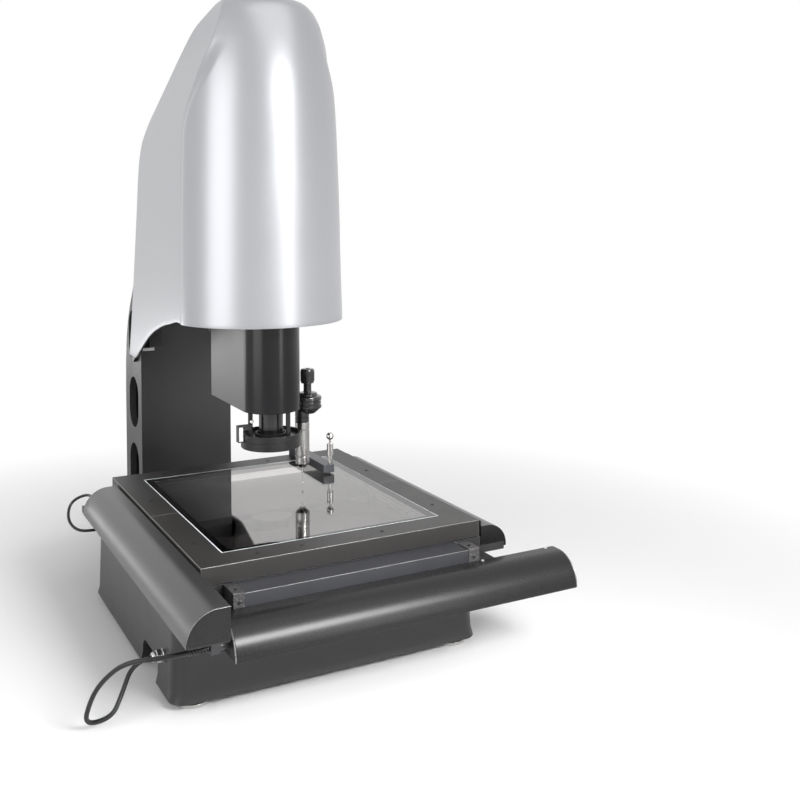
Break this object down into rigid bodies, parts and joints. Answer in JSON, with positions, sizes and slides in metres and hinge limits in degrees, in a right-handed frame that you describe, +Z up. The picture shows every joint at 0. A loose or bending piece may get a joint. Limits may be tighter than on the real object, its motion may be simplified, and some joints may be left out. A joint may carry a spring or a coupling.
{
  "type": "vision measuring machine",
  "caption": "Bench measuring machine: a glass stage slides sideways and in and out over a cast base, under a head whose lens, ring light and touch probe rise and fall.",
  "frame": {"origin": "on the top face of the stage glass, on the lens axis", "axes": "+X to the right and -Y to the front as seen by the operator, +Z up along the lens axis"},
  "size_m": [0.7308, 1.053, 1.0561],
  "materials": {
    "cast_charcoal": "fine-textured charcoal paint",
    "cast_grey": "warm grey paint",
    "arm_iron": "painted",
    "cover_silver": "silver satin gloss",
    "cover_black": "black satin powder coat",
    "plate_dark": "dark satin",
    "trim_dark": "warm dark grey satin",
    "steel_bright": "polished",
    "steel_rail": "ground",
    "black_part": "black",
    "black_anodised": "black anodised",
    "housing_satin": "dark satin",
    "glass_clear": "clear with ground edges",
    "rubber_black": "matt",
    "plug_grey": "grey",
    "bar_granite": "brown grey"
  },
  "bodies": {
    "frame": {"base_casting": "cast_charcoal", "levelling_feet": "steel_bright", "control_box": "plate_dark", "backlight_unit": "black_anodised", "connector_panel": "plate_dark", "x_rails": "steel_rail", "x_nut_bracket": "black_anodised", "cable_glands": "steel_bright", "column": "cast_grey", "head_arm": "arm_iron", "head_cover": "cover_silver", "limit_bracket": "black_part", "z_rails": "steel_rail", "z_motor": "black_part", "z_bearing_blocks": "steel_rail", "front_cable": "rubber_black", "rear_cable": "rubber_black"},
    "saddle": {"saddle_plate": "plate_dark", "x_carriages": "steel_rail", "y_rails": "steel_rail", "x_drive_motor": "black_part", "y_drive_motor": "black_part", "screw_bearing_blocks": "black_anodised", "left_cover": "cover_black", "left_cover_caps": "cover_black", "right_cover": "cover_black", "right_cover_caps": "cover_black", "front_cover": "cover_black", "front_cover_caps": "cover_black", "scale_housing": "black_anodised", "cable_plug": "plug_grey", "strain_relief": "rubber_black"},
    "x_screw": {"x_screw": "steel_rail"},
    "y_screw": {"y_screw": "steel_rail"},
    "z_screw": {"z_screw": "steel_rail"},
    "table": {"table_plate": "trim_dark", "y_carriages": "steel_rail", "y_nut_bracket": "black_anodised", "front_trim": "trim_dark", "rear_trim": "trim_dark", "stage_glass": "glass_clear", "glass_stop": "steel_bright", "trim_screws": "steel_bright", "reference_bar": "bar_granite", "reference_sphere": "steel_bright"},
    "z_slide": {"z_plate": "housing_satin", "z_carriages": "steel_rail", "z_nut": "black_anodised", "optics_housing": "housing_satin", "camera": "black_anodised", "zoom_lens_body": "black_anodised", "zoom_motor": "black_part", "objective_tube": "black_anodised", "ring_light": "black_anodised", "ring_light_bracket": "black_anodised", "probe_head": "black_anodised", "probe_body": "steel_bright", "stylus": "steel_bright"},
    "zoom_ring": {"zoom_ring": "black_anodised"}
  },
  "joints": [
    {"name": "x_slide", "type": "slide", "parent": "frame", "child": "saddle", "axis": [1, 0, 0], "range_m": [-0.17, 0.13], "deforming": ["front_cable", "rear_cable"]},
    {"name": "y_slide", "type": "slide", "parent": "saddle", "child": "table", "axis": [0, 1, 0], "range_m": [-0.15, 0.15]},
    {"name": "z_slide", "type": "slide", "parent": "frame", "child": "z_slide", "axis": [0, 0, 1], "range_m": [-0.004, 0.196]},
    {"name": "x_screw_turn", "type": "hinge", "parent": "saddle", "child": "x_screw", "pos_m": [0, -0.343, -0.072], "axis": [1, 0, 0], "range_deg": [-6480, 5040]},
    {"name": "y_screw_turn", "type": "hinge", "parent": "saddle", "child": "y_screw", "pos_m": [-0.24, 0, -0.032], "axis": [0, 1, 0], "range_deg": [-5760, 5760]},
    {"name": "z_screw_turn", "type": "hinge", "parent": "frame", "child": "z_screw", "pos_m": [0, 0.232, 0.5], "axis": [0, 0, 1], "range_deg": [-7560, 360]},
    {"name": "zoom_turn", "type": "hinge", "parent": "z_slide", "child": "zoom_ring", "pos_m": [0, 0, 0.285], "axis": [0, 0, 1], "range_deg": [0, 110]}
  ],
  "couplings": [
    {"joint": "x_screw_turn", "follows": "x_slide", "rad_per_m": 628.32},
    {"joint": "y_screw_turn", "follows": "y_slide", "rad_per_m": -628.32},
    {"joint": "z_screw_turn", "follows": "z_slide", "rad_per_m": -628.32}
  ]
}
